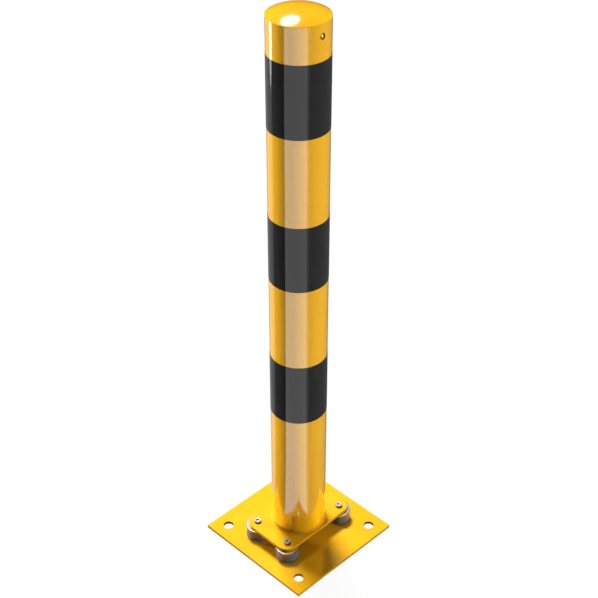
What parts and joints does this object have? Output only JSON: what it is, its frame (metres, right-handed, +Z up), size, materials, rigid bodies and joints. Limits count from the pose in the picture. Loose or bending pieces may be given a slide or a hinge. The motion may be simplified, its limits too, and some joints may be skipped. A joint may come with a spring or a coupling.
{
  "type": "flexible bollard",
  "caption": "Yellow and black steel bollard on rubber-metal buffers and a square base plate, so that the post leans when it is struck and springs back.",
  "frame": {"origin": "centre of the base plate's underside, on the ground", "axes": "+Z up along the post, +X the side that the vent hole faces, +Y along the flange plate's long side"},
  "size_m": [0.25, 0.25, 1.075],
  "materials": {
    "yellow_paint": "gloss",
    "black_film": "gloss",
    "zinc": "bright zinc plate",
    "rubber": "satin"
  },
  "bodies": {
    "base": {"base_plate": "yellow_paint", "bottom_disc_front": "zinc", "bottom_disc_left": "zinc", "bottom_disc_right": "zinc", "bottom_disc_rear": "zinc", "base_screw_front": "zinc", "base_screw_left": "zinc", "base_screw_right": "zinc", "base_screw_rear": "zinc"},
    "rubbers": {"rubber_front": "rubber", "rubber_left": "rubber", "rubber_right": "rubber", "rubber_rear": "rubber"},
    "post": {"flange_plate": "yellow_paint", "top_disc_front": "zinc", "top_disc_left": "zinc", "top_disc_right": "zinc", "top_disc_rear": "zinc", "flange_screw_front": "zinc", "flange_screw_left": "zinc", "flange_screw_right": "zinc", "flange_screw_rear": "zinc", "post_tube": "yellow_paint", "foot_weld": "yellow_paint", "post_cap": "yellow_paint", "band_upper": "black_film", "band_middle": "black_film", "band_lower": "black_film"}
  },
  "joints": [
    {"name": "lean_lengthwise", "type": "hinge", "parent": "base", "child": "rubbers", "pos_m": [0, 0, 0.0185], "axis": [1, 0, 0], "range_deg": [-3.5, 3.5], "stiffness_Nm_per_rad": 4900, "deforming": ["rubber_front", "rubber_left", "rubber_right", "rubber_rear"]},
    {"name": "lean_crosswise", "type": "hinge", "parent": "rubbers", "child": "post", "pos_m": [0, 0, 0.0185], "axis": [0, 1, 0], "range_deg": [-6, 6], "stiffness_Nm_per_rad": 1600, "deforming": ["rubber_front", "rubber_left", "rubber_right", "rubber_rear"]}
  ]
}
